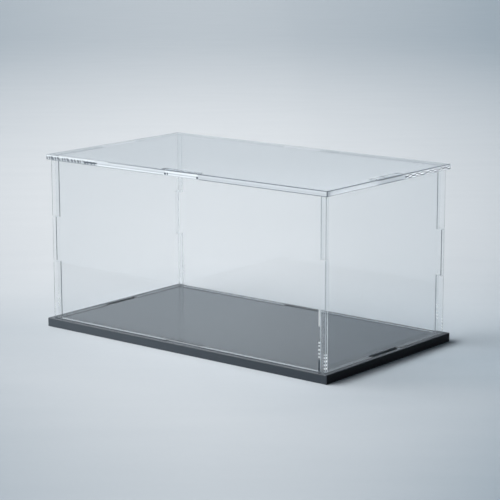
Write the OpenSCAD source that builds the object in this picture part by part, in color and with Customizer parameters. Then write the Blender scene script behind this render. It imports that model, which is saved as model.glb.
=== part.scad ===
/* [Case] */
// Length of the base plate, left to right
base_l = 200; // [120:1:400]
// Depth of the base plate, front to back
base_d = 114; // [80:1:300]
// Height of the closed case, from the table to the top of the lid
case_h = 100; // [60:1:300]
// Width of the base's rim outside the walls
base_rim = 2.7; // [1.5:0.1:10]
// Width of the lid's rim outside the walls
lid_rim = 1.9; // [1.5:0.1:10]

/* [Sheets] */
// Thickness of the clear wall sheets
wall_t = 3; // [2:0.5:6]
// Thickness of the clear lid sheet
lid_t = 3; // [2:0.5:6]
// Thickness of the black base sheet
base_t = 5; // [3:0.5:10]

/* [Tabs] */
// Length of a tab along its edge
tab_l = 26; // [12:1:40]
// Clearance on each side of a tab in its slot or notch
tab_gap = 0.1; // [0.05:0.05:0.3]
// Clearance between two sheets that stand against each other
seat_gap = 0.1; // [0.05:0.05:0.3]
// How far a lid tab's end lies below the lid's top face
lid_tab_recess = 0.1; // [0.05:0.05:1]
// How far a base tab's end lies above the base's underside
base_tab_recess = 0.3; // [0.1:0.1:2]

/* [Edges] */
// Chamfer on the polished edges of the clear sheets
sheet_chamfer = 0.15; // [0.05:0.05:0.5]
// Chamfer on the edges of the base plate
base_chamfer = 0.25; // [0.05:0.05:1]

/* [Hidden] */

// Overrun of every cut past the face that it leaves by
overrun = 1;
clear_tint = [0.86, 0.92, 0.95, 0.35];
base_tint = [0.10, 0.11, 0.12];

// The outline that the four walls stand on
walls_l = base_l - 2 * base_rim;
walls_d = base_d - 2 * base_rim;
// Levels above the table
wall_foot_z = base_t + seat_gap;
lid_under_z = case_h - lid_t;
wall_h = lid_under_z - seat_gap - wall_foot_z;
// The front and back walls stand between the side walls
long_wall_l = walls_l - 2 * (wall_t + seat_gap);
// How far the tabs stand out of their sheet, and how deep they run back into it
side_tab_out = wall_t + seat_gap;
lid_tab_out = lid_t + seat_gap - lid_tab_recess;
base_tab_out = base_t + seat_gap - base_tab_recess;
tab_root = wall_t;
// A slot or a notch holds a tab with its clearance all round
slot_l = tab_l + 2 * tab_gap;
slot_w = wall_t + 2 * tab_gap;
notch_depth = wall_t + tab_gap;
// Middle planes of the walls
long_wall_y = (walls_d - wall_t) / 2;
side_wall_x = (walls_l - wall_t) / 2;

// A rectangle about the origin with its four corners cut off
module cut_rectangle(w, h, c) {
    polygon([
        for (q = [[1, 1], [-1, 1], [-1, -1], [1, -1]])
            for (first = [q.x * q.y > 0, q.x * q.y < 0])
                first ? [q.x * w / 2, q.y * (h / 2 - c)] : [q.x * (w / 2 - c), q.y * h / 2]
    ]);
}

// A block about the origin with all twelve edges chamfered
module chamfered_block(size, c) {
    intersection() {
        linear_extrude(size.z, center = true)
            cut_rectangle(size.x, size.y, c);
        rotate([90, 0, 0])
            linear_extrude(size.y, center = true)
                cut_rectangle(size.x, size.z, c);
        rotate([90, 0, 90])
            linear_extrude(size.x, center = true)
                cut_rectangle(size.y, size.z, c);
    }
}

// A tab that grows from the origin along +Z, and runs back below it into its sheet
module tab(out) {
    translate([0, 0, (out - tab_root) / 2])
        chamfered_block([tab_l, wall_t, out + tab_root], sheet_chamfer);
}

// A wall sheet that stands on the origin along X, with its tabs for the lid and the base
module wall_sheet(length) {
    translate([0, 0, wall_h / 2])
        chamfered_block([length, wall_t, wall_h], sheet_chamfer);
    translate([0, 0, wall_h])
        tab(lid_tab_out);
    mirror([0, 0, 1])
        tab(base_tab_out);
}

// A long wall, with a tab in the middle of each upright edge
module long_wall() {
    wall_sheet(long_wall_l);
    for (side = [-1, 1])
        translate([side * long_wall_l / 2, 0, wall_h / 2])
            rotate([0, side * 90, 0])
                tab(side_tab_out);
}

// A side wall, with a notch in the middle of each upright edge for a long wall's tab
module side_wall() {
    difference() {
        wall_sheet(walls_d);
        for (side = [-1, 1])
            translate([side * (walls_d - notch_depth + overrun) / 2, 0, wall_h / 2])
                cube([notch_depth + overrun, wall_t + 2 * overrun, slot_l], center = true);
    }
}

// The four slots that hold the walls' tabs, cut through a plate of thickness t about the origin
module wall_slots(t) {
    for (side = [-1, 1]) {
        translate([0, side * long_wall_y, 0])
            cube([slot_l, slot_w, t + 2 * overrun], center = true);
        translate([side * side_wall_x, 0, 0])
            cube([slot_w, slot_l, t + 2 * overrun], center = true);
    }
}

module base_plate() {
    color(base_tint)
        translate([0, 0, base_t / 2])
            difference() {
                chamfered_block([base_l, base_d, base_t], base_chamfer);
                wall_slots(base_t);
            }
}

module lid_panel() {
    color(clear_tint)
        translate([0, 0, lid_under_z + lid_t / 2])
            difference() {
                chamfered_block([walls_l + 2 * lid_rim, walls_d + 2 * lid_rim, lid_t], sheet_chamfer);
                wall_slots(lid_t);
            }
}

// The front wall is on side -1 of Y and the back wall on side 1
module placed_long_wall(side) {
    color(clear_tint)
        translate([0, side * long_wall_y, wall_foot_z])
            long_wall();
}

// The left wall is on side -1 of X and the right wall on side 1
module placed_side_wall(side) {
    color(clear_tint)
        translate([side * side_wall_x, 0, wall_foot_z])
            rotate([0, 0, 90])
                side_wall();
}

base_plate();
placed_long_wall(-1);  // front_wall
placed_long_wall(1);  // back_wall
placed_side_wall(-1);  // left_wall
placed_side_wall(1);  // right_wall
lid_panel();
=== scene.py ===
"""Looks of a clear acrylic display case: six sheets that lock together with tabs and slots.

Every length is in metres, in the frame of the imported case: +X to the right, +Y to the back, +Z up.
"""

from __future__ import annotations

import logging
import math
from dataclasses import dataclass, field
from enum import Enum
from typing import Any, Iterable, Sequence

import bmesh
import bpy
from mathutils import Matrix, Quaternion, Vector

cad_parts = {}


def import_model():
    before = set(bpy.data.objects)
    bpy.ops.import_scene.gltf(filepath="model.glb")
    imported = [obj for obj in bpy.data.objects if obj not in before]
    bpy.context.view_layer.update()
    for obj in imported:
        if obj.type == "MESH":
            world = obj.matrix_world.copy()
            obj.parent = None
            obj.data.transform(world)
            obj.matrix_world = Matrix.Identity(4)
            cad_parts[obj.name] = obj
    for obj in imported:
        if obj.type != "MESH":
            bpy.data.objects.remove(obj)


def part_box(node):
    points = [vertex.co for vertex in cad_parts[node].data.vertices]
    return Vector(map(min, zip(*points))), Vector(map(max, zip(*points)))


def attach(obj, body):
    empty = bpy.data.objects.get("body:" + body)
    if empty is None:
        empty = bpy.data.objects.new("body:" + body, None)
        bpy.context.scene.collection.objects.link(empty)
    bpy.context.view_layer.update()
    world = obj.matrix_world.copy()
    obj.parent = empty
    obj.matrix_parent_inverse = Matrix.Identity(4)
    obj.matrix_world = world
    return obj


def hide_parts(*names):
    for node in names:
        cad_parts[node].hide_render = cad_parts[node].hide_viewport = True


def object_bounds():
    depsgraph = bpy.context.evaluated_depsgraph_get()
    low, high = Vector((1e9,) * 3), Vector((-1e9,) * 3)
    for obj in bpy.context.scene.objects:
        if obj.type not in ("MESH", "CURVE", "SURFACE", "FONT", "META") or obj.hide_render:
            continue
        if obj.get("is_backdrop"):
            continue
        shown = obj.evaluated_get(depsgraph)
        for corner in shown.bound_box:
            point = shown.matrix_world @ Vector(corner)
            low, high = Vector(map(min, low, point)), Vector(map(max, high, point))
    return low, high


LOG = logging.getLogger("display_case")
MM = 0.001
Colour = tuple[float, float, float]
Pair = tuple[float, float]
Material = bpy.types.Material
Node = bpy.types.Node
Socket = bpy.types.NodeSocket
Settings = dict[str, Any]
Inputs = dict[Any, Any]
# The part of a smooth hump's height that its sides take up.
HUMP_SIDE = 0.6
# The most of a surface that marks cover.
MOST_MARKED = 0.96
# Where a smooth step ends that tells one half of the case from the other.
HALFWAY = 20 * MM
# How far from straight a face still counts as flat, and the least turn that an edge is rounded for.
FLAT = math.cos(math.radians(5))
SHARP = math.radians(80)
# How far up or down a rounded edge has to face to count as a level one.
LEVEL = 0.1
# How far inside a rectangle's rim a point is put to lie in it for certain.
JUST_INSIDE = MM / 10


class Facing(Enum):
    """The axis that a sheet's two polished faces look along, as an index into a point."""

    X = 0
    Y = 1
    Z = 2

    @property
    def across(self) -> tuple[int, int]:
        """The two axes that lie in the sheet, lower index first."""
        first, second = (i for i in range(3) if i != self.value)
        return first, second


class Face(Enum):
    """The kinds of surface that a sheet has, as an index into its material slots."""

    POLISHED = 0
    CUT = 1
    SEAT = 2
    ARRIS = 3
    TAB_END = 4
    FOOT = 5
    MARKED = 6


class Number:
    """A shader socket that Python expressions use as a number."""

    def __init__(self, nodes: Nodes, socket: Socket) -> None:
        """Wraps an output socket, and keeps the builder that adds the Math nodes."""
        self.nodes = nodes
        self.socket = socket

    def math(self, operation: str, *others: Number | float, flip: bool = False) -> Number:
        """Adds one Math node.

        Args:
            operation: The Math node's operation.
            others: The remaining operands.
            flip: Whether this number comes after the first of the others.

        Returns:
            The node's result.
        """
        terms: list[Number | float] = [self, *others]
        if flip:
            terms[0], terms[1] = terms[1], terms[0]
        values = dict(enumerate(terms))
        return self.nodes.number("ShaderNodeMath", {"operation": operation}, values)

    def __add__(self, other: Number | float) -> Number:
        """Adds two numbers."""
        return self.math("ADD", other)

    def __sub__(self, other: Number | float) -> Number:
        """Takes the other number from this one."""
        return self.math("SUBTRACT", other)

    def __rsub__(self, other: float) -> Number:
        """Takes this number from a plain one."""
        return self.math("SUBTRACT", other, flip=True)

    def __mul__(self, other: Number | float) -> Number:
        """Multiplies two numbers."""
        return self.math("MULTIPLY", other)

    def __truediv__(self, other: Number | float) -> Number:
        """Divides this number by the other."""
        return self.math("DIVIDE", other)

    def __pow__(self, other: Number | float) -> Number:
        """Raises this number to a power."""
        return self.math("POWER", other)

    __radd__ = __add__
    __rmul__ = __mul__

    def between(self, low: float, high: float) -> Number:
        """Maps this number to a smooth step from 0 at low to 1 at high, which may be the lesser."""
        ends = {"Value": self, "From Min": low, "From Max": high}
        return self.nodes.number("ShaderNodeMapRange", {"interpolation_type": "SMOOTHSTEP"}, ends)

    def near(self, centre: Number | float, reach: float) -> Number:
        """Maps this number to a smooth hump: 1 at the centre, and 0 past its reach to either side."""
        return (1 - ((self - centre) / reach) ** 2).between(0.0, HUMP_SIDE)


class Nodes:
    """Builds the node tree of one material or of the world."""

    def __init__(self, owner: Material | bpy.types.World) -> None:
        """Empties the owner's node tree and keeps it.

        Args:
            owner: The material or world whose nodes are built.
        """
        owner.use_nodes = True
        self.tree = owner.node_tree
        self.tree.nodes.clear()

    def add(self, kind: str, settings: Settings | None = None, values: Inputs | None = None) -> Node:
        """Adds one node of any type.

        Args:
            kind: The node's type.
            settings: The node's own settings, which are set first.
            values: What each input holds: a value, a Number or an output socket.

        Returns:
            The new node.
        """
        node = self.tree.nodes.new(kind)
        for name, setting in (settings or {}).items():
            setattr(node, name, setting)
        for name, value in (values or {}).items():
            source = value.socket if isinstance(value, Number) else value
            if isinstance(source, Socket):
                self.tree.links.new(source, node.inputs[name])
            else:
                node.inputs[name].default_value = source
        return node

    def number(
        self, kind: str, settings: Settings | None = None, values: Inputs | None = None,
        output: int | str = 0,
    ) -> Number:
        """Adds a node and wraps one of its outputs, the first one unless another is named."""
        return Number(self, self.add(kind, settings, values).outputs[output])

    def place(self, output: str = "Object") -> list[Number]:
        """Adds the place on the piece in its own frame, or the world's direction.

        Args:
            output: The output of the Texture Coordinate node: Object or Generated.

        Returns:
            Its three parts.
        """
        point = self.add("ShaderNodeTexCoord").outputs[output]
        split = self.add("ShaderNodeSeparateXYZ", None, {"Vector": point})
        return [Number(self, part) for part in split.outputs]

    def noise(
        self, scale: float, detail: float, stretch: Sequence[float] = (1, 1, 1), turn: float = 0.0
    ) -> Number:
        """Adds cloudy noise in the piece's own frame.

        Args:
            scale: Clouds to a metre.
            detail: How many finer layers the noise has.
            stretch: The scale along each axis, beside the scale above.
            turn: How far the axes are turned about Z first, in radians.

        Returns:
            The noise, from 0 to 1.
        """
        point = self.add("ShaderNodeTexCoord").outputs["Object"]
        turned = self.add("ShaderNodeMapping", None, {"Vector": point, "Rotation": (0, 0, -turn)})
        values = {"Vector": turned.outputs[0], "Scale": stretch}
        stretched = self.add("ShaderNodeMapping", None, values).outputs[0]
        values = {"Vector": stretched, "Scale": scale, "Detail": detail}
        return self.number("ShaderNodeTexNoise", {"noise_dimensions": "3D"}, values)

    def ripple(self, along: Number, scale: float, detail: float) -> Number:
        """Adds noise that changes along one line only, from 0 to 1, with its ripples to a metre."""
        values = {"W": along, "Scale": scale, "Detail": detail}
        return self.number("ShaderNodeTexNoise", {"noise_dimensions": "1D"}, values)

    def blend(
        self, factor: Number, first: Colour | Socket, second: Colour
    ) -> Socket:
        """Adds a Mix node between two colours.

        Args:
            factor: How much of the second colour there is.
            first: The colour at a factor of 0, or the socket that gives it.
            second: The colour at a factor of 1.

        Returns:
            The mixed colour.
        """
        base = first if isinstance(first, Socket) else (*first, 1.0)
        values = {"Factor": factor, 6: base, 7: (*second, 1.0)}
        return self.add("ShaderNodeMix", {"data_type": "RGBA"}, values).outputs[2]

    def bump(self, height: Number, distance: float) -> Socket:
        """Adds a Bump node, with what a height of 1 is in metres, and gives the bent normal."""
        values = {"Height": height, "Strength": 1.0, "Distance": distance}
        return self.add("ShaderNodeBump", None, values).outputs["Normal"]

    def join(
        self, factor: Number | float, first: Node, second: Node
    ) -> Node:
        """Adds a Mix Shader, whose factor is how much of the second shader there is."""
        values = {0: factor, 1: first.outputs[0], 2: second.outputs[0]}
        return self.add("ShaderNodeMixShader", None, values)

    def surface(self, shader: Socket, output: str = "Material") -> None:
        """Joins a shader to the tree's output, which is Material or World."""
        self.add(f"ShaderNodeOutput{output}", None, {"Surface": shader})


@dataclass(frozen=True)
class ClearAcrylic:
    """A surface of clear sheet. It lets light straight through, or bends it where it has an ior."""

    name: str
    frost: float
    frost_spread: float
    grain: Facing | None = None
    tint: Colour = (0.992, 0.996, 0.998)
    pale: Colour = (0.66, 0.68, 0.70)
    dull: Colour = (0.52, 0.55, 0.58)
    inner: Colour = (0.60, 0.63, 0.66)
    frost_roughness: float = 0.45
    frost_unevenness: float = 0.2
    frost_shine: float = 0.1
    glow: float = 0.5
    ior: float | None = None
    head_on: float = 0.04
    roughness: float = 0.01
    scuff: float = 0.02
    clouds_per_m: float = 16.0
    waves_per_m: float = 9.0
    ripples_per_m: float = 900.0
    wave_height: float = 0.004 * MM
    ripple_height: float = 0.010 * MM

    def relief(self, nodes: Nodes) -> tuple[Number, float]:
        """Adds the surface's waves, or the ripples that the laser leaves across a cut.

        Args:
            nodes: The tree's builder.

        Returns:
            The height from 0 to 1, and what a height of 1 is.
        """
        if self.grain is None:
            return nodes.noise(self.waves_per_m, detail=1.0), self.wave_height
        first, second = (nodes.place()[axis] for axis in self.grain.across)
        return nodes.ripple(first + second, self.ripples_per_m, detail=2.0), self.ripple_height

    def clear(self, nodes: Nodes, clouds: Number, normal: Socket) -> Node:
        """Adds what is seen where the surface is clear.

        Args:
            nodes: The tree's builder.
            clouds: Faint clouds over the surface, from 0 to 1.
            normal: The bent normal.

        Returns:
            The shader's node.
        """
        through = nodes.add("ShaderNodeBsdfTransparent", None, {"Color": (*self.tint, 1.0)})
        if self.ior is not None:
            bent = {"Color": (*self.tint, 1.0), "Roughness": 0.0, "IOR": self.ior, "Normal": normal}
            glass = nodes.add("ShaderNodeBsdfGlass", None, bent)
            shadow = nodes.number("ShaderNodeLightPath", output="Is Shadow Ray")
            return nodes.join(shadow, glass, through)
        facing = nodes.number("ShaderNodeLayerWeight", None, {"Blend": 0.5}, "Facing")
        rough = clouds * self.scuff + self.roughness
        gleam = {"Color": (1.0, 1.0, 1.0, 1.0), "Roughness": rough, "Normal": normal}
        mirror = nodes.add("ShaderNodeBsdfAnisotropic", None, gleam)
        return nodes.join(facing**5 * (1 - self.head_on) + self.head_on, through, mirror)

    def shades(self, nodes: Nodes, clouds: Number) -> Socket:
        """Adds the frosted part's colour, which faint clouds dull."""
        return nodes.blend(clouds, self.pale, self.dull)

    def glowing(self, nodes: Nodes) -> Number | float:
        """How much of the frosted part is lit from inside the sheet."""
        return self.glow

    def marked(self, nodes: Nodes, frost: Node) -> Node:
        """Adds marks to the frosted part. Plain frost has none."""
        return frost

    def share(self, nodes: Nodes, height: Number) -> Number:
        """How much of the surface is frosted, from 0 to 1, which follows its height."""
        return (height - 0.5) * self.frost_spread + self.frost

    def material(self) -> Material:
        """Makes the material.

        Returns:
            The material.
        """
        made = bpy.data.materials.new(self.name)
        nodes = Nodes(made)
        height, distance = self.relief(nodes)
        normal = nodes.bump(height, distance)
        clouds = nodes.noise(self.clouds_per_m, detail=3.0)
        frosted = {
            "Base Color": self.shades(nodes, clouds),
            "Roughness": height * self.frost_unevenness + self.frost_roughness,
            "Specular IOR Level": self.frost_shine,
            "Normal": normal,
        }
        outside = nodes.add("ShaderNodeBsdfPrincipled", None, frosted)
        lit = {"Color": (*self.inner, 1.0), "Normal": normal}
        inside = nodes.add("ShaderNodeBsdfTranslucent", None, lit)
        frost = self.marked(nodes, nodes.join(self.glowing(nodes), outside, inside))
        share = self.share(nodes, height)
        nodes.surface(nodes.join(share, self.clear(nodes, clouds, normal), frost).outputs[0])
        return made


@dataclass(frozen=True)
class Band:
    """A soft stripe along a cut edge. Its places across run from 0 at the underside to 1 at the top."""

    middle: float
    reach: float
    strength: float = 1.0

    def on(self, up: Number) -> Number:
        """How strong the stripe is at a place across the edge."""
        return up.near(self.middle, self.reach) * self.strength


@dataclass(frozen=True)
class Mark:
    """One dark mark on the lid's cut edge: a soft oval at a place along the edge."""

    along: float
    length: float
    band: Band


@dataclass(frozen=True)
class LidEdge(ClearAcrylic):
    """The lid's cut edge, with painted highlights in white lines, and painted dark reflections and
    painted shade near its ends and by the tabs.
    """

    low: tuple[float, float, float] = (0.0, 0.0, 0.0)
    high: tuple[float, float, float] = (0.0, 0.0, 0.0)
    slack: float = 0.2 * MM
    # Painted highlight: the white of the lines where the edge would catch the key.
    painted_highlight: Colour = (0.74, 0.79, 0.83)
    # Painted dark reflections and painted shade: the colour of the dark marks.
    painted_dark: Colour = (0.035, 0.055, 0.075)
    painted_dark_roughness: float = 0.5
    far_frost: float = 0.12
    long_glow: float = 0.03
    short_glow: float = 0.25
    # The short edges' share lit from inside, with painted bright bands.
    bright_core: Band = Band(0.40, 0.34, 0.30)
    dim_core: Band = Band(0.30, 0.30, 0.07)
    # Two painted highlight lines, and a dull line between them.
    low_line: Band = Band(0.14, 0.22)
    low_line_start: float = -0.0600
    low_line_least: float = 0.6
    high_line: Band = Band(0.76, 0.26)
    high_line_least: float = 0.35
    high_line_end: float = 0.6
    fine_line: Band = Band(0.38, 0.16, 0.6)
    tab_start: float = -0.0098
    tab_step: float = 0.8 * MM
    highlight_end: float = 0.0140
    highlight_step: float = 0.4 * MM
    cloudy: float = 0.4
    # Painted dark reflections of the base: slanted strokes at the long edges' left end, and twisted ropes
    # on the short edges' back part.
    stroke_end: float = -0.0607
    stroke: float = 0.0025
    stroke_slant: float = 3.2
    strokes_per_m: float = 260.0
    stroke_jitter: float = 9.0
    stroke_sway: float = 0.25
    stroke_band: Band = Band(0.40, 0.34)
    stroke_wave: Pair = (-0.9, 0.6)
    stroke_darkness: float = 0.62
    stroke_gap: float = 0.22
    rope_start: float = 0.0120
    rope_twist: float = 0.0125
    rope_middle: float = 0.42
    rope_swing: float = 0.22
    rope_jitter: float = 5.0
    ropes_per_m: float = 160.0
    rope_darkness: float = 0.9
    strand: float = 0.13
    thin_strand: float = 0.8
    # Painted shade: stripes by the tab on the short edges; the long edges' dark marks lie by the tabs and
    # at the left end.
    tab_ends: Pair = (-0.0132, 0.0104)
    tab_spread: float = 1.8
    tab_bands: tuple[Band, Band] = (Band(0.86, 0.12, 0.5), Band(0.12, 0.12, 0.5))
    long_marks: tuple[Mark, ...] = (
        Mark(-0.0640, 0.0052, Band(0.46, 0.17)),
        Mark(-0.0093, 0.0008, Band(0.32, 0.22)),
        Mark(-0.0076, 0.0005, Band(0.34, 0.22)),
        Mark(0.0134, 0.0008, Band(0.30, 0.26)),
    )

    def on_long(self, nodes: Nodes) -> Number:
        """Tells the long edges, where it is 1, from the short ones."""
        _, y, _ = nodes.place()
        return y.math("ABSOLUTE").math("GREATER_THAN", self.high[1] - self.slack)

    def up(self, nodes: Nodes) -> Number:
        """The place across the edge, from 0 at the underside to 1 at the top."""
        return (nodes.place()[2] - self.low[2]) / (self.high[2] - self.low[2])

    def shades(self, nodes: Nodes, clouds: Number) -> Socket:
        """Adds the frosted part's colour: grey, with two painted highlight lines on the long edges' left
        part and a dull line between them.

        Args:
            nodes: The tree's builder.
            clouds: Faint clouds over the surface, from 0 to 1.

        Returns:
            The colour.
        """
        x, up = nodes.place()[0], self.up(nodes)
        low = x.between(self.low_line_start, self.low_line_start + MM)
        low = low * (1 - self.low_line_least) + self.low_line_least
        high = x.between(self.tab_start, self.tab_start + self.tab_step)
        high = high * (1 - self.high_line_least) + self.high_line_least
        high = high + x.between(self.stroke_end, self.stroke_end - MM) * self.high_line_end
        lines = self.high_line.on(up) * high + self.low_line.on(up) * low
        lines = lines * x.between(self.highlight_end, self.highlight_end - self.highlight_step)
        plain = nodes.blend(clouds * self.cloudy + self.fine_line.on(up), self.pale, self.dull)
        return nodes.blend(lines.math("MINIMUM", 1.0), plain, self.painted_highlight)

    def glowing(self, nodes: Nodes) -> Number | float:
        """How much of the frosted part is lit from inside the sheet, with painted bright bands along the
        short edges.

        Args:
            nodes: The tree's builder.

        Returns:
            The share, from 0 to 1.
        """
        up, beside_tab = self.up(nodes), nodes.place()[1].between(self.rope_start, self.rope_start + MM)
        short = self.bright_core.on(up) * beside_tab + self.dim_core.on(up) + self.short_glow
        return (self.long_glow - short) * self.on_long(nodes) + short

    def share(self, nodes: Nodes, height: Number) -> Number:
        """How much of the surface is frosted: nearly all of the front and right edges.

        Args:
            nodes: The tree's builder.
            height: The height of the surface, from 0 to 1.

        Returns:
            The share, from 0 to 1.
        """
        x, y, _ = nodes.place()
        front = y.math("LESS_THAN", self.low[1] + self.slack)
        near = x.math("GREATER_THAN", self.high[0] - self.slack).math("MAXIMUM", front)
        return super().share(nodes, height) * (near * (1 - self.far_frost) + self.far_frost)

    def rope(self, along: Number, up: Number) -> Number:
        """Draws two strands that twist about each other.

        Args:
            along: The place along the edge, in metres.
            up: The place across it.

        Returns:
            The strands: 1 on them, 0 beside them.
        """
        uneven = along.nodes.ripple(along, self.ropes_per_m, detail=1.0) * self.rope_jitter
        swing = (along * (math.tau / self.rope_twist) + uneven).math("SINE") * self.rope_swing
        thick = up.near(self.rope_middle + swing, self.strand)
        return thick + up.near(self.rope_middle - swing, self.strand * self.thin_strand)

    def strokes(self, along: Number, up: Number) -> Number:
        """Draws slanted strokes close together.

        Args:
            along: The place along the edge, in metres.
            up: The place across it.

        Returns:
            The strokes: strongest on them, and little beside them.
        """
        uneven = along.nodes.ripple(along, self.strokes_per_m, detail=2.0)
        slanted = along * (math.tau / self.stroke) + up * self.stroke_slant
        wave = (slanted + uneven * self.stroke_jitter).math("SINE").between(*self.stroke_wave)
        middle = (uneven - 0.5) * self.stroke_sway + self.stroke_band.middle
        return up.near(middle, self.stroke_band.reach) * (wave * self.stroke_darkness + self.stroke_gap)

    def marked(self, nodes: Nodes, frost: Node) -> Node:
        """Adds the dark marks: painted dark reflections in strokes and ropes, and painted shade by the
        tabs.

        Args:
            nodes: The tree's builder.
            frost: The frosted shader below them.

        Returns:
            The shader with its marks.
        """
        x, y, _ = nodes.place()
        up = self.up(nodes)
        on_long = self.strokes(x, up) * x.between(self.stroke_end, self.stroke_end - MM)
        for mark in self.long_marks:
            on_long = on_long + x.near(mark.along, mark.length) * mark.band.on(up)
        start, end = self.tab_ends
        stripes = self.tab_bands[0].on(up) + self.tab_bands[1].on(up)
        on_short = self.rope(y, up) * y.between(self.rope_start, self.rope_start + MM) * self.rope_darkness
        on_short = on_short + y.near((start + end) / 2, (end - start) / self.tab_spread) * stripes
        dark = (on_long - on_short) * self.on_long(nodes) + on_short
        values = {"Base Color": (*self.painted_dark, 1.0), "Roughness": self.painted_dark_roughness}
        painted_dark = nodes.add("ShaderNodeBsdfPrincipled", None, values)
        return nodes.join(dark.math("MINIMUM", MOST_MARKED), frost, painted_dark)


@dataclass(frozen=True)
class UprightEdge(ClearAcrylic):
    """A wall's rounded edge with painted light: pale at the corners nearest and farthest from the camera,
    and dark with painted shade elsewhere.
    """

    shady: Colour = (0.06, 0.08, 0.10)
    shady_glow: float = 0.18
    # Painted shade on the near corner: towards its foot, above the base as seen, and at the very foot.
    foot_shade_span: Pair = (0.045, 0.010)
    foot_shade: float = 0.3
    clear_of_base: Pair = (0.033, 0.038)
    clear_shade: float = 0.45
    foot: Pair = (0.0052, 0.0060)
    foot_least: float = 0.25
    above_foot: Pair = (0.006, 0.008)
    back_lit: float = 0.7
    back_clear: float = 0.55
    cloudy: float = 0.15

    def back_corner(self, nodes: Nodes) -> Number:
        """Tells the corner at the back, where it is 1 above the foot, from the others."""
        x, y, z = nodes.place()
        return x.between(HALFWAY, -HALFWAY) * y.between(-HALFWAY, HALFWAY) * z.between(*self.above_foot)

    def lit_corners(self, nodes: Nodes) -> Number:
        """Tells the near and the back corner, where light is painted, from the other two; the near one
        gets less of it low down and high up.

        Args:
            nodes: The tree's builder.

        Returns:
            How pale the edge is, from 0 to 1.
        """
        x, y, z = nodes.place()
        near = x.between(-HALFWAY, HALFWAY) * y.between(HALFWAY, -HALFWAY)
        near = near * (1 - z.between(*self.foot_shade_span) * self.foot_shade)
        near = near * (1 - z.between(*self.clear_of_base) * self.clear_shade)
        near = near * (z.between(*self.foot) * (1 - self.foot_least) + self.foot_least)
        return near + self.back_corner(nodes) * self.back_lit

    def share(self, nodes: Nodes, height: Number) -> Number:
        """How much of the surface is frosted, from 0 to 1: less at the back corner."""
        return super().share(nodes, height) * (1 - self.back_corner(nodes) * self.back_clear)

    def shades(self, nodes: Nodes, clouds: Number) -> Socket:
        """Adds the frosted part's colour: pale with painted light at the near and back corners, and
        painted shade elsewhere, which faint clouds darken.
        """
        return nodes.blend(self.lit_corners(nodes) - clouds * self.cloudy, self.shady, self.pale)

    def glowing(self, nodes: Nodes) -> Number | float:
        """How much of the frosted part is lit from inside the sheet: more at the painted lit corners."""
        return self.lit_corners(nodes) * (self.glow - self.shady_glow) + self.shady_glow


@dataclass(frozen=True)
class Beaded(ClearAcrylic):
    """Clear sheet beside an upright edge, with frosted beads near the foot, and where given a painted
    shade bar and a painted highlight bar at the near corner.
    """

    beads: Pair = (0.0058, 0.0150)
    strip: Pair = (96.2 * MM, 96.4 * MM)
    bead: float = 0.0019
    bead_jitter: float = 5.0
    jitters_per_m: float = 300.0
    bead_edge: Pair = (-0.1, 0.5)
    stretch_step: float = 0.3 * MM
    painted_shade_colour: Colour = (0.02, 0.03, 0.04)
    cloudy: float = 0.1
    shade_bar: Pair | None = None
    shade_bar_frost: float = 0.9
    highlight_bar: Pair | None = None
    highlight_bar_frost: float = 0.6

    def stretch(self, nodes: Nodes, start: float, end: float) -> Number:
        """Tells a stretch of the height, where it is 1, from the rest."""
        z, step = nodes.place()[2], self.stretch_step
        return z.between(start, start + step) * z.between(end, end - step)

    def share(self, nodes: Nodes, height: Number) -> Number:
        """How much of the surface is frosted: the beads, and the painted shade and highlight bars at the
        corner on the right.

        Args:
            nodes: The tree's builder.
            height: The height of the surface, from 0 to 1.

        Returns:
            The share, from 0 to 1.
        """
        x, y, z = nodes.place()
        uneven = nodes.ripple(z, self.jitters_per_m, detail=1.0) * self.bead_jitter
        wave = (z * (math.tau / self.bead) + uneven).math("SINE")
        marks = wave.between(*self.bead_edge) * self.stretch(nodes, *self.beads)
        marks = marks * x.math("ABSOLUTE").between(*self.strip)
        near = x.between(0.0, HALFWAY) * y.between(0.0, -HALFWAY)
        for bar, frost in ((self.shade_bar, self.shade_bar_frost), (self.highlight_bar, self.highlight_bar_frost)):
            if bar is not None:
                marks = marks + self.stretch(nodes, *bar) * near * frost
        return (super().share(nodes, height) + marks).math("MINIMUM", MOST_MARKED)

    def shades(self, nodes: Nodes, clouds: Number) -> Socket:
        """Adds the frosted part's colour: nearly black on the painted shade bar, and pale elsewhere.

        Args:
            nodes: The tree's builder.
            clouds: Faint clouds over the surface, from 0 to 1.

        Returns:
            The colour.
        """
        if self.shade_bar is None:
            return super().shades(nodes, clouds)
        dark = self.stretch(nodes, *self.shade_bar) + clouds * self.cloudy
        return nodes.blend(dark, self.pale, self.painted_shade_colour)

    def glowing(self, nodes: Nodes) -> Number | float:
        """How much of the frosted part is lit from inside the sheet: none of the painted shade bar."""
        dark = 0.0 if self.shade_bar is None else self.stretch(nodes, *self.shade_bar)
        return (1 - dark) * self.glow


@dataclass(frozen=True)
class LidArris(ClearAcrylic):
    """The lid's rounded edge: a painted highlight along the left part of the front, and painted shade
    darkening it to the right.
    """

    middle: float = 0.0
    front: Pair = (0.01, -0.01)
    # Painted highlight where the rounded front edge would catch the key.
    painted_highlight: Colour = (0.80, 0.85, 0.89)
    highlight_top: Pair = (-0.0890, -0.0520)
    highlight_foot: Pair = (-0.0600, 0.0140)
    # Painted shade: the edge darkens towards the right, away from the key.
    painted_shade_span: Pair = (-0.050, 0.0)
    cloudy: float = 0.2

    def shades(self, nodes: Nodes, clouds: Number) -> Socket:
        """Adds the frosted part's colour.

        Args:
            nodes: The tree's builder.
            clouds: Faint clouds over the surface, from 0 to 1.

        Returns:
            The colour.
        """
        x, y, z = nodes.place()
        foot, top = (
            x.between(start - MM, start + MM) * x.between(end + 2 * MM, end - MM)
            for start, end in (self.highlight_foot, self.highlight_top)
        )
        painted_highlight = ((top - foot) * z.math("GREATER_THAN", self.middle) + foot) * y.between(*self.front)
        plain = nodes.blend(x.between(*self.painted_shade_span) + clouds * self.cloudy, self.pale, self.dull)
        return nodes.blend(painted_highlight, plain, self.painted_highlight)


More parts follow.
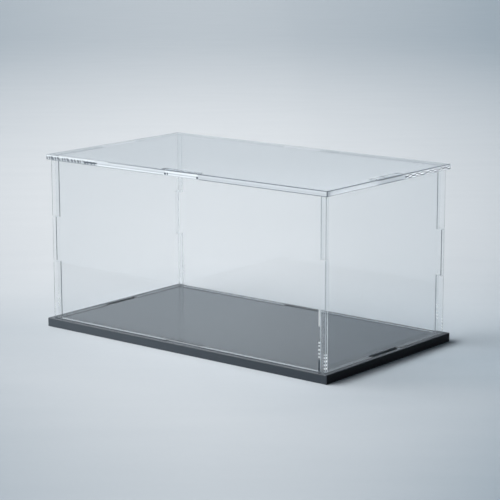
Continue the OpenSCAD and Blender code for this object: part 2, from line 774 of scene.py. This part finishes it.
@dataclass(frozen=True)
class SatinBlack:
    """Black acrylic sheet with a satin face, faintly clouded where hands have been."""

    name: str
    shade: Colour
    worn_and_lit: Colour
    ior: float = 1.49
    roughness: float = 0.10
    shine: float = 0.5
    cloud: float = 0.04
    clouds_per_m: float = 22.0
    streak: float = 4.0
    streak_turn: float = 39.0
    grains_per_m: float = 420.0
    grain_height: float = 0.002 * MM

    def shades(self, nodes: Nodes, clouds: Number) -> Socket:
        """Adds the surface's colour, which faint clouds make look worn."""
        return nodes.blend(clouds, self.shade, self.worn_and_lit)

    def material(self) -> Material:
        """Makes the material.

        Returns:
            The material.
        """
        made = bpy.data.materials.new(self.name)
        nodes = Nodes(made)
        turn = math.radians(self.streak_turn)
        clouds = nodes.noise(self.clouds_per_m, detail=4.0, stretch=(1, self.streak, 1), turn=turn)
        grains = nodes.noise(self.grains_per_m, detail=2.0)
        values = {
            "Base Color": self.shades(nodes, clouds), "IOR": self.ior, "Specular IOR Level": self.shine,
            "Roughness": clouds * self.cloud + self.roughness,
            "Normal": nodes.bump(grains, self.grain_height),
        }
        nodes.surface(nodes.add("ShaderNodeBsdfPrincipled", None, values).outputs[0])
        return made


@dataclass(frozen=True)
class BlackEdge(SatinBlack):
    """The base's outer edge, with painted light and shade: paler towards the left, and darkest on the
    right side.
    """

    # Painted shade: the right side, away from the key, is near black.
    dark: Colour = (0.006, 0.008, 0.011)
    side: float = 99.6 * MM
    fade: Pair = (0.12, -0.10)
    cloudy: float = 0.2

    def shades(self, nodes: Nodes, clouds: Number) -> Socket:
        """Adds the surface's colour.

        Args:
            nodes: The tree's builder.
            clouds: Faint clouds over the surface, from 0 to 1.

        Returns:
            The colour.
        """
        x = nodes.place()[0]
        # Painted light: paler towards the left, with faint clouds.
        worn_and_lit = x.between(*self.fade) + (clouds - 0.5) * self.cloudy
        along = nodes.blend(worn_and_lit, self.shade, self.worn_and_lit)
        return nodes.blend(x.math("GREATER_THAN", self.side), along, self.dark)


@dataclass(frozen=True)
class Rect:
    """A rectangle in a sheet's plane."""

    low: Pair
    high: Pair

    @classmethod
    def about(cls, centre: Pair, size: Pair) -> Rect:
        """Makes a rectangle from its centre and its full size."""
        low, high = (tuple(c + side * s / 2 for c, s in zip(centre, size)) for side in (-1, 1))
        return cls(low, high)

    @classmethod
    def pair(cls, out: float, up: float, size: Pair) -> list[Rect]:
        """Makes two rectangles of one size at one height, equally far out to either side."""
        return [cls.about((side * out, up), size) for side in (-1, 1)]

    def holds(self, point: Pair) -> bool:
        """Whether a point lies inside."""
        return all(a < p < b for a, p, b in zip(self.low, point, self.high))


@dataclass
class Sheet:
    """One laser-cut sheet, made of rectangles that are filled and rectangles that are cut out."""

    name: str
    node: str
    body: str
    slot: str
    facing: Facing
    span: Pair
    filled: list[Rect]
    cut: list[Rect]
    edge_radius: float
    margins: list[Rect] = field(default_factory=list)
    plain: list[Rect] = field(default_factory=list)
    marks: list[Rect] = field(default_factory=list)
    edge_steps: int = 2

    @property
    def outward(self) -> int:
        """The side of the frame that the sheet stands on, as a sign."""
        return 1 if sum(self.span) > 0 else -1

    def point(self, u: float, v: float, w: float) -> Vector:
        """Turns two places along the sheet and one across it into a point of the frame."""
        places = dict(zip((*self.facing.across, self.facing.value), (u, v, w)))
        return Vector(places[axis] for axis in range(3))

    def breaks(self, axis: int) -> list[float]:
        """The places along one axis where a rectangle begins or ends, in order."""
        rects = self.filled + self.cut + self.margins + self.marks
        return sorted({round(end[axis], 7) for r in rects for end in (r.low, r.high)})

    def solid_at(self, point: Pair) -> bool:
        """Whether the sheet has material at a point of its plane."""
        filled = any(r.holds(point) for r in self.filled)
        return filled and not any(r.holds(point) for r in self.cut)

    def block_out(self, bm: bmesh.types.BMesh) -> None:
        """Fills a mesh with the sheet's cells, closed all round.

        Args:
            bm: The empty mesh to fill.
        """
        us, vs = self.breaks(0), self.breaks(1)
        corners: dict[tuple[int, int, int], bmesh.types.BMVert] = {}

        def corner(i: int, j: int, k: int) -> bmesh.types.BMVert:
            """Gives the vertex at a crossing of the breaks, which is made when it is first asked for.

            Args:
                i: Which break along the sheet's first axis.
                j: Which break along its second axis.
                k: Which of its two faces.

            Returns:
                The vertex.
            """
            if (i, j, k) not in corners:
                corners[i, j, k] = bm.verts.new(self.point(us[i], vs[j], self.span[k]))
            return corners[i, j, k]

        cells = {
            (i, j)
            for i in range(len(us) - 1)
            for j in range(len(vs) - 1)
            if self.solid_at(((us[i] + us[i + 1]) / 2, (vs[j] + vs[j + 1]) / 2))
        }
        for i, j in cells:
            for k in (0, 1):
                ring = ((i, j), (i + 1, j), (i + 1, j + 1), (i, j + 1))
                bm.faces.new([corner(a, b, k) for a, b in ring])
            sides = {
                (i - 1, j): ((i, j), (i, j + 1)), (i + 1, j): ((i + 1, j), (i + 1, j + 1)),
                (i, j - 1): ((i, j), (i + 1, j)), (i, j + 1): ((i, j + 1), (i + 1, j + 1)),
            }
            for neighbour, (a, b) in sides.items():
                if neighbour not in cells:
                    bm.faces.new([corner(*a, 0), corner(*b, 0), corner(*b, 1), corner(*a, 1)])
        bmesh.ops.recalc_face_normals(bm, faces=bm.faces)

    def level_edge(self, centre: Vector, outer: bool) -> Face:
        """Tells what kind a level rounded edge is.

        Args:
            centre: The middle of the face.
            outer: Whether the face looks out of the case.

        Returns:
            The kind.
        """
        if self.facing is Facing.Z or centre.z > self.breaks(1)[-2] - MM:
            return Face.ARRIS
        if self.facing is Facing.Y:
            inside = any(r.holds((centre.x, r.high[1] - JUST_INSIDE)) for r in self.margins)
            return Face.FOOT if outer == (self.outward < 0) and inside else Face.CUT
        near_side = self.facing is Facing.X and self.outward > 0
        return Face.CUT if near_side and not outer else Face.ARRIS

    def upright_edge(self, centre: Vector, outer: bool) -> Face:
        """Tells what kind an upright rounded edge is. Where two meet, only one is frosted.

        Args:
            centre: The middle of the face.
            outer: Whether the face looks out of the case.

        Returns:
            The kind.
        """
        if self.facing is Facing.Z:
            return Face.ARRIS
        kept = outer if self.facing is Facing.X else outer == (centre.x * self.outward < 0)
        return Face.ARRIS if kept else Face.CUT

    def kind(self, face: bmesh.types.BMFace) -> Face:
        """Tells what kind of surface a face of the finished sheet is.

        Args:
            face: The face.

        Returns:
            The kind.
        """
        axis = max(range(3), key=lambda i: abs(face.normal[i]))
        centre = face.calc_center_median()
        outer = face.normal[self.facing.value] * self.outward > 0
        first, second = self.facing.across
        place = (centre[first], centre[second])
        if abs(face.normal[axis]) < FLAT:
            if any(r.holds(place) for r in self.plain):
                return Face.SEAT if self.facing is Facing.Z else Face.CUT
            level = abs(face.normal.z) > LEVEL
            return self.level_edge(centre, outer) if level else self.upright_edge(centre, outer)
        if axis == self.facing.value:
            if outer and any(r.holds(place) for r in self.marks):
                return Face.MARKED
            if not (outer and any(r.holds(place) for r in self.margins)):
                return Face.POLISHED
            low = centre.z < self.breaks(1)[2]
            return Face.FOOT if self.facing is Facing.Y and low else Face.ARRIS
        if self.facing is not Facing.Z:
            if axis != Facing.Z.value:
                return Face.CUT
            return Face.TAB_END if centre.z > self.breaks(1)[-2] else Face.SEAT
        ends = self.breaks(self.facing.across.index(axis))
        outline = not min(ends[1], 0) <= centre[axis] <= max(ends[-2], 0)
        return Face.CUT if outline else Face.SEAT

    def build(self, finishes: Sequence[Material]) -> bpy.types.Object:
        """Makes the sheet, rounds its edges and dresses it.

        Args:
            finishes: The finish for each kind of surface, in the order of Face.

        Returns:
            The new piece, riding on its body.
        """
        bm = bmesh.new()
        self.block_out(bm)
        rims = [e for e in bm.edges if e.calc_face_angle_signed(0.0) > SHARP]
        bmesh.ops.bevel(
            bm, geom=rims, offset=self.edge_radius, segments=self.edge_steps, profile=0.5,
            affect="EDGES", clamp_overlap=True,
        )
        for face in bm.faces:
            face.material_index = self.kind(face).value
        mesh = bpy.data.meshes.new(self.name)
        bm.to_mesh(mesh)
        bm.free()
        for finish in finishes:
            mesh.materials.append(finish)
        piece = bpy.data.objects.new(self.name, mesh)
        bpy.context.scene.collection.objects.link(piece)
        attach(piece, self.body)
        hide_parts(self.node)
        LOG.info("%s: %d faces, riding on %s", self.name, len(mesh.polygons), self.body)
        return piece


@dataclass(frozen=True)
class Tabs:
    """The tabs that lock the sheets together, and the slots and notches that take them."""

    length: float = 26 * MM
    gap: float = 0.1 * MM

    @property
    def slot_length(self) -> float:
        """The length of a slot or a notch."""
        return self.length + 2 * self.gap


@dataclass
class Plate:
    """A level sheet with a slot near the middle of each edge: the base or the lid."""

    name: str
    node: str
    body: str
    slot: str
    tabs: Tabs
    edge_radius: float
    plain_slots: bool = False

    def build(self, walls: Walls, finishes: Sequence[Material]) -> None:
        """Makes the plate.

        Args:
            walls: The walls whose tabs the slots hold.
            finishes: The finish for each kind of surface, in the order of Face.
        """
        low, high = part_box(self.node)
        outline = Rect((low.x, low.y), (high.x, high.y))
        width = walls.thickness + 2 * self.tabs.gap
        long_slot = (self.tabs.slot_length, width)
        side_slot = (width, self.tabs.slot_length)
        slots = []
        for side in (-1, 1):
            slots.append(Rect.about((0.0, side * walls.long_plane), long_slot))
            slots.append(Rect.about((side * walls.side_plane, 0.0), side_slot))
        made = Sheet(
            self.name, self.node, self.body, self.slot, Facing.Z, (low.z, high.z), [outline], slots,
            self.edge_radius,
        )
        if self.plain_slots:
            made.plain.append(Rect((low.x + MM, low.y + MM), (high.x - MM, high.y - MM)))
        made.build(finishes)


@dataclass
class Walls:
    """The four upright sheets. The front and back ones stand between the two side ones."""

    tabs: Tabs
    body: str = "cover"
    slot: str = "clear_acrylic"
    seat_gap: float = 0.1 * MM
    edge_radius: float = 0.35 * MM
    # The strip along the foot that carries the painted highlight line.
    foot_margin: float = 0.62 * MM
    foot_start: float = 3.0 * MM
    # The strips at the walls' ends that carry the beads, and at the near corner the painted shade and
    # highlight bars.
    mark_width: float = 1.4 * MM
    mark_top: float = 40.0 * MM
    end_margin: float = 0.50 * MM
    line_inset: float = 1.3 * MM
    joint_margin: float = 0.60 * MM

    def __post_init__(self) -> None:
        """Reads the walls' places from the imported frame."""
        front_low, front_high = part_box("front_wall")
        right_low, right_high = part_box("right_wall")
        self.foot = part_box("base_plate")[1].z + self.seat_gap
        self.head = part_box("lid_panel")[0].z - self.seat_gap
        self.low_end, self.high_end = front_low.z, front_high.z
        self.thickness = front_high.y - front_low.y
        self.long_plane = abs(front_low.y + front_high.y) / 2
        self.side_plane = (right_low.x + right_high.x) / 2
        self.outer_length = front_high.x - front_low.x
        self.outer_depth = right_high.y - right_low.y

    @property
    def middle(self) -> float:
        """The height of the middle of the upright edges."""
        return (self.foot + self.head) / 2

    def sheet(self, side: str, facing: Facing, centre: float, length: float) -> Sheet:
        """Starts a wall with its body and its tabs for the base and the lid.

        Args:
            side: Which wall it is, as in its node's name.
            facing: The way that it faces.
            centre: The place of its middle plane.
            length: Its length without side tabs.

        Returns:
            The sheet, not yet made.
        """
        half = self.thickness / 2
        body = Rect((-length / 2, self.foot), (length / 2, self.head))
        tab = Rect((-self.tabs.length / 2, self.low_end), (self.tabs.length / 2, self.high_end))
        made = Sheet(
            f"{side}_sheet", f"{side}_wall", self.body, self.slot, facing,
            (centre - half, centre + half), [body, tab], [], self.edge_radius,
        )
        width = self.tabs.length + 2 * self.joint_margin
        for low, high in ((self.low_end - MM, self.foot), (self.head, self.high_end + MM)):
            made.plain.append(Rect((-width / 2, low), (width / 2, high)))
        return made

    def long_wall(self, side: str, sign: int) -> Sheet:
        """Lays out the front or the back wall, with a tab on each upright edge.

        Args:
            side: Which wall it is.
            sign: The side of Y that it is on.

        Returns:
            The sheet, not yet made.
        """
        length = self.outer_length - 2 * (self.thickness + self.seat_gap)
        made = self.sheet(side, Facing.Y, sign * self.long_plane, length)
        made.filled.append(Rect.about((0.0, self.middle), (self.outer_length, self.tabs.length)))
        foot_end = (length / 2 - self.mark_width, self.foot + self.foot_margin)
        made.margins.append(Rect((self.foot_start - length / 2, self.foot), foot_end))
        out, size = (self.outer_length - self.end_margin) / 2, (self.end_margin, self.tabs.length)
        made.margins += Rect.pair(out, self.middle, size)
        out, size = (length - self.mark_width) / 2, (self.mark_width, self.mark_top - self.foot)
        made.marks += Rect.pair(out, (self.mark_top + self.foot) / 2, size)
        reach = self.thickness + self.seat_gap
        out, size = (self.outer_length - reach) / 2, (reach, self.tabs.length + 2 * self.joint_margin)
        made.plain += Rect.pair(out - self.joint_margin, self.middle, size)
        return made

    def side_wall(self, side: str, sign: int) -> Sheet:
        """Lays out the left or the right wall, with a notch in each upright edge.

        Args:
            side: Which wall it is.
            sign: The side of X that it is on.

        Returns:
            The sheet, not yet made.
        """
        made = self.sheet(side, Facing.X, sign * self.side_plane, self.outer_depth)
        depth = self.thickness + self.tabs.gap
        out, margin = (self.outer_depth - depth) / 2, 2 * self.joint_margin
        made.cut += Rect.pair(out, self.middle, (depth, self.tabs.slot_length))
        made.plain += Rect.pair(out, self.middle, (depth + margin, self.tabs.slot_length + margin))
        end = self.outer_depth / 2
        inset = self.line_inset if sign > 0 else 0.0
        made.margins += [
            Rect((inset - end, self.foot), (inset - end + self.end_margin, self.head)),
            Rect((end - self.end_margin, self.foot), (end, self.head)),
        ]
        if sign > 0:
            made.marks.append(Rect((-end, self.foot), (inset - end, self.mark_top)))
        return made

    def build(self, finishes: dict[Facing, list[Material]]) -> None:
        """Makes all four walls.

        Args:
            finishes: The finishes for each way that a sheet faces.
        """
        for side, sign in (("front", -1), ("back", 1)):
            self.long_wall(side, sign).build(finishes[Facing.Y])
        for side, sign in (("left", -1), ("right", 1)):
            self.side_wall(side, sign).build(finishes[Facing.X])


@dataclass(frozen=True)
class Studio:
    """The pale floor, with a painted pool of light and painted shade round the case, and the soft light:
    a pale horizon, and a wide key low on the left.
    """

    floor_radius: float = 9.0
    floor_steps: int = 96
    # The floor's colour in the painted pool of light, and where it dims.
    floor_pale: Colour = (0.781, 0.823, 0.863)
    floor_dim: Colour = (0.335, 0.405, 0.469)
    floor_roughness: float = 0.8
    floor_shine: float = 0.1
    palest: float = 1.39
    far_end: float = 2.95
    near_end: float = 0.34
    nearest: float = 0.70
    far_share: float = 0.64
    near_share: float = 0.82
    side_share: float = 0.37
    side_centre: float = -0.027
    side_reach: float = 0.156
    side_power: float = 1.7
    mottle: float = 0.09
    mottles_per_m: float = 11.0
    streak: float = 4.0
    grain: float = 0.03
    grains_per_m: float = 300.0
    # Painted shade close to the case, and a painted shadow beside it away from the key.
    near_shade: float = 0.17
    near_shade_reach: float = 0.095
    shade: float = 0.10
    shade_fade: float = 0.75
    shade_depth: tuple[float, float, float, float] = (-0.125, -0.092, -0.060, -0.015)
    shade_start: Pair = (0.040, 0.085)
    shade_end: Pair = (0.36, 0.18)
    sky: Colour = (0.90, 1.0, 1.09)
    horizon: float = 0.767
    horizon_reach: Pair = (0.36, 0.24)
    dip: float = 0.18
    dip_reach: Pair = (0.19, 0.15)
    flag: float = 0.62
    flag_aside: Pair = (-0.03, 0.12)
    flag_above: Pair = (0.17, 0.235)
    top: float = 0.063
    fill: float = 0.315
    fill_from: Colour = (-0.80, 0.58, 0.15)
    fill_reach: Pair = (-0.30, 0.75)
    key: Colour = (12.56, 12.20, 11.87)
    key_heading: Pair = (-0.775, -0.632)
    key_height: float = 0.47
    key_size: Pair = (0.78, 0.19)
    key_fade: float = 0.5
    key_mirrored: float = 0.07

    def case_shade(self, nodes: Nodes, view: Viewpoint) -> Number:
        """The painted shade on the floor: dimmer close to the case, and a faint painted shadow on the
        side away from the key.

        Args:
            nodes: The tree's builder.
            view: The camera, whose heading the shade lies across.

        Returns:
            How much dimmer the floor is.
        """
        x, y, _ = nodes.place()
        low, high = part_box("base_plate")
        out_x = (x.math("ABSOLUTE") - high.x).math("MAXIMUM", 0.0)
        out_y = (y.math("ABSOLUTE") - high.y).math("MAXIMUM", 0.0)
        away = (out_x**2 + out_y**2) ** 0.5
        ahead_x, ahead_y = view.heading
        aside = x * ahead_y - y * ahead_x
        depth = x * ahead_x + y * ahead_y
        start, full, fade, end = self.shade_depth
        long = depth.between(start, full) * (1 - depth.between(fade, end) * self.shade_fade)
        long = long * aside.between(*self.shade_start) * aside.between(*self.shade_end)
        return away.between(self.near_shade_reach, 0.0) * self.near_shade + long * self.shade

    def floor_finish(self, view: Viewpoint) -> Material:
        """Makes the floor's finish, with a painted pool of light: palest just behind the case, and dimmer
        all round.

        Args:
            view: The camera, whose foot the distances are measured from.

        Returns:
            The material.
        """
        made = bpy.data.materials.new("pale_floor")
        nodes = Nodes(made)
        x, y, _ = nodes.place()
        foot_x, foot_y, _ = view.place
        ahead_x, ahead_y = view.heading
        along = (x - foot_x) * ahead_x + (y - foot_y) * ahead_y
        across = (x - foot_x) * ahead_y - (y - foot_y) * ahead_x
        across = across / along.math("MAXIMUM", self.nearest)
        aside = ((across - self.side_centre) / self.side_reach).math("ABSOLUTE")
        dim = along.between(self.palest, self.far_end) * self.far_share
        dim = dim + along.between(self.palest, self.near_end) * self.near_share
        dim = dim + aside**self.side_power * self.side_share * along.between(0.0, self.nearest)
        dim = dim + self.case_shade(nodes, view)
        turn = math.radians(view.azimuth)
        streaks = nodes.noise(self.mottles_per_m, detail=5.0, stretch=(1, self.streak, 1), turn=turn)
        grains = nodes.noise(self.grains_per_m, detail=2.0)
        mottles = (streaks - 0.5) * self.mottle + (grains - 0.5) * self.grain
        shade = nodes.blend(dim + mottles, self.floor_pale, self.floor_dim)
        values = {
            "Base Color": shade,
            "Roughness": self.floor_roughness,
            "Specular IOR Level": self.floor_shine,
        }
        nodes.surface(nodes.add("ShaderNodeBsdfPrincipled", None, values).outputs[0])
        return made

    def build_floor(self, view: Viewpoint) -> None:
        """Makes the floor.

        Args:
            view: The camera, whose foot the floor's finish is measured from.
        """
        bm = bmesh.new()
        bmesh.ops.create_circle(bm, cap_ends=True, radius=self.floor_radius, segments=self.floor_steps)
        mesh = bpy.data.meshes.new("floor")
        bm.to_mesh(mesh)
        bm.free()
        mesh.materials.append(self.floor_finish(view))
        floor = bpy.data.objects.new("floor", mesh)
        bpy.context.scene.collection.objects.link(floor)
        floor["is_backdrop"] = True
        LOG.info("floor: radius %.1f m", self.floor_radius)

    def build_light(self, view: Viewpoint) -> None:
        """Lights the case. Sky and key together light the floor to white.

        Polished faces show the key little brighter than the horizon, so that they don't glare.

        Args:
            view: The camera. A flag dims the horizon to the right of where it looks.
        """
        world = bpy.data.worlds.new("soft_light")
        bpy.context.scene.world = world
        nodes = Nodes(world)
        x, y, z = nodes.place("Generated")
        fill_x, fill_y, fill_z = self.fill_from
        fill = (x * fill_x + y * fill_y + z * fill_z).between(*self.fill_reach) * self.fill
        upper = fill + self.top
        level = (self.horizon - upper) * z.between(*self.horizon_reach) + upper
        level = level - z.between(*self.dip_reach) * self.dip
        ahead_x, ahead_y = view.heading
        right = (x * ahead_y - y * ahead_x).between(*self.flag_aside)
        level = level * (1 - right * z.between(*self.flag_above) * self.flag)
        key_x, key_y = self.key_heading
        aside = (x * -key_y + y * key_x) / self.key_size[0]
        above = (z - self.key_height) / self.key_size[1]
        ahead = (x * key_x + y * key_y).math("GREATER_THAN", 0.0)
        glow = (1 - aside**2 - above**2).between(0.0, self.key_fade) * ahead
        mirrored = nodes.number("ShaderNodeLightPath", output="Is Glossy Ray")
        glow = glow * (1 - mirrored * (1 - self.key_mirrored))
        parts = {}
        for index, (colour, strength) in enumerate(((self.sky, level), (self.key, glow))):
            values = {"Color": (*colour, 1.0), "Strength": strength}
            parts[index] = nodes.add("ShaderNodeBackground", None, values).outputs[0]
        nodes.surface(nodes.add("ShaderNodeAddShader", None, parts).outputs[0], "World")
        LOG.info("light: key towards %s", self.key_heading)


@dataclass(frozen=True)
class Viewpoint:
    """The camera that took the photograph, as fitted to the corners of the case."""

    azimuth: float = 39.176
    elevation: float = 11.655
    roll: float = -0.138
    distance: float = 1.0508
    target: tuple[float, float, float] = (0.00355, 0.0, 0.04874)
    focal_mm: float = 135.2
    sensor_mm: float = 36.0

    @property
    def back(self) -> Vector:
        """The direction from the target to the camera."""
        az, el = math.radians(self.azimuth), math.radians(self.elevation)
        return Vector((math.sin(az) * math.cos(el), -math.cos(az) * math.cos(el), math.sin(el)))

    @property
    def place(self) -> Vector:
        """The camera's place."""
        return Vector(self.target) + self.back * self.distance

    @property
    def heading(self) -> Pair:
        """The level direction that the camera looks in."""
        az = math.radians(self.azimuth)
        return -math.sin(az), math.cos(az)

    def build(self) -> None:
        """Makes the camera and gives it to the scene."""
        data = bpy.data.cameras.new("camera")
        data.lens = self.focal_mm
        data.sensor_width = self.sensor_mm
        camera = bpy.data.objects.new("camera", data)
        bpy.context.scene.collection.objects.link(camera)
        camera.location = self.place
        camera.rotation_mode = "QUATERNION"
        aim = (-self.back).to_track_quat("-Z", "Y")
        camera.rotation_quaternion = aim @ Quaternion((0.0, 0.0, 1.0), math.radians(self.roll))
        bpy.context.scene.camera = camera
        LOG.info("camera: %.1f degrees round, %.1f degrees up", self.azimuth, self.elevation)


# How much of each kind of surface is frosted, and how far that changes from place to place.
POLISH = (0.004, 0.006)
LASER_CUT = (0.03, 0.04)
ROUNDED = (0.92, 0.12)
FROSTED = (0.94, 0.06)
SEATS = {Facing.X: (0.02, 0.02), Facing.Y: (0.02, 0.02), Facing.Z: (0.03, 0.02)}
# The colours of the walls' rounded edges, pale where light is painted at the corners.
BRIGHT_EDGE = {"pale": (0.40, 0.44, 0.48), "inner": (0.80, 0.87, 0.93)}
BEADS = {"pale": (0.90, 0.94, 0.97), "dull": (0.84, 0.89, 0.93), "inner": (0.95, 0.97, 0.99)}
# The lid arris's colours: pale on the left, and a dull painted shade on the right.
DIM_EDGE = {"pale": (0.42, 0.46, 0.49), "dull": (0.10, 0.13, 0.16), "inner": (0.20, 0.23, 0.26)}
ARRISES = {
    Facing.X: UprightEdge("clear_acrylic_arris_x", *ROUNDED, Facing.X, glow=0.65, **BRIGHT_EDGE),
    Facing.Y: UprightEdge("clear_acrylic_arris_y", *ROUNDED, Facing.Y, glow=0.65, **BRIGHT_EDGE),
    Facing.Z: LidArris(
        "clear_acrylic_arris_z", frost=0.85, frost_spread=0.20, grain=Facing.Z, glow=0.3,
        middle=98.5 * MM, **DIM_EDGE,
    ),
}
# Painted highlight: a pale frosted line along the walls' foot.
FOOT_LINE = {"pale": (0.58, 0.63, 0.68), "dull": (0.52, 0.57, 0.62), "ripple_height": 0.002 * MM}


def clear_finishes() -> dict[Facing, list[Material]]:
    """Makes the finishes of the clear sheets.

    Returns:
        For each way that a sheet faces, a finish for each kind of surface in the order of Face.
    """
    polished = ClearAcrylic("clear_acrylic_face", *POLISH).material()
    bending = ClearAcrylic("clear_acrylic_lid_face", *POLISH, ior=1.49).material()
    low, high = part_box("lid_panel")
    lid_edge = LidEdge(
        "clear_acrylic_lid_edge", *FROSTED, Facing.Z, pale=(0.54, 0.58, 0.62),
        dull=(0.46, 0.50, 0.54), inner=(0.82, 0.88, 0.94), low=tuple(low), high=tuple(high),
    ).material()
    foot = ClearAcrylic("clear_acrylic_foot", *FROSTED, Facing.Y, glow=0.1, **FOOT_LINE).material()
    joints = {
        # At the near corner: a painted shade bar low down, and a painted highlight bar above it.
        Facing.Y: Beaded(
            "clear_acrylic_joint_y", *POLISH, Facing.Y, beads=(0.0119, 0.0215), strip=(0.0, 0.01),
            shade_bar=(0.0050, 0.0119), highlight_bar=(0.0290, 0.0385), **BEADS,
        ).material(),
        Facing.X: Beaded(
            "clear_acrylic_joint_x", *POLISH, Facing.X, strip=(0.0, 0.01), glow=0.9, **BEADS
        ).material(),
    }
    made = {}
    for facing in Facing:
        way = facing.name.lower()
        level = facing is Facing.Z
        seat = ClearAcrylic(f"clear_acrylic_seat_{way}", *SEATS[facing], facing).material()
        cut = {
            Facing.X: Beaded("clear_acrylic_cut_x", *LASER_CUT, facing, **BEADS),
            Facing.Y: ClearAcrylic("clear_acrylic_cut_y", *LASER_CUT, facing),
        }
        made[facing] = [
            bending if level else polished,
            lid_edge if level else cut[facing].material(),
            seat,
            ARRISES[facing].material(),
            seat,
            foot,
            joints.get(facing, polished),
        ]
    return made


def black_finishes() -> list[Material]:
    """Makes the finishes of the black base.

    Returns:
        A finish for each kind of surface, in the order of Face.
    """
    face = SatinBlack("black_acrylic_face", (0.031, 0.041, 0.053), (0.044, 0.056, 0.070))
    # The edge is painted paler towards the left and darkest on the right side.
    edge = BlackEdge(
        "black_acrylic_edge", (0.030, 0.038, 0.047), (0.054, 0.066, 0.078), roughness=0.42, shine=0.1
    )
    arris = SatinBlack(
        "black_acrylic_arris", (0.040, 0.052, 0.066), (0.050, 0.062, 0.076), roughness=0.40
    )
    # Painted light: the slots' walls are a paler grey than the black sheet, which lifts the shade in
    # them.
    slot = SatinBlack(
        "black_acrylic_slot", (0.12, 0.14, 0.16), (0.16, 0.18, 0.20), roughness=0.60, shine=0.2
    )
    made = [finish.material() for finish in (face, edge, slot, arris)]
    return [*made, *[made[1]] * 3]


def set_light_paths() -> None:
    """Lets light pass as many clear faces as lie behind one another in any view."""
    cycles = bpy.context.scene.cycles
    cycles.transparent_max_bounces = 96
    cycles.max_bounces = 24
    cycles.glossy_bounces = 16
    cycles.diffuse_bounces = 4


def corners(bounds: Iterable[Vector]) -> list[list[float]]:
    """Turns the two corners of a box into plain lists of numbers."""
    return [list(corner) for corner in bounds]


def main() -> None:
    """Builds the case, its studio and its camera."""
    logging.basicConfig(level=logging.INFO, format="%(name)s: %(message)s")
    bpy.context.scene.view_settings.view_transform = "Standard"
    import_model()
    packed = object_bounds()
    set_light_paths()
    view = Viewpoint()
    view.build()
    studio = Studio()
    studio.build_floor(view)
    studio.build_light(view)
    clear = clear_finishes()
    tabs = Tabs()
    walls = Walls(tabs)
    base = Plate("base_sheet", "base_plate", "base", "black_acrylic", tabs, edge_radius=0.25 * MM)
    base.build(walls, black_finishes())
    walls.build(clear)
    lid = Plate(
        "lid_sheet", "lid_panel", "lid", "clear_acrylic", tabs, edge_radius=0.35 * MM, plain_slots=True
    )
    lid.build(walls, clear[Facing.Z])
    {"cad": corners(packed), "visual": corners(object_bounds())}


if __name__ == "__main__":
    main()
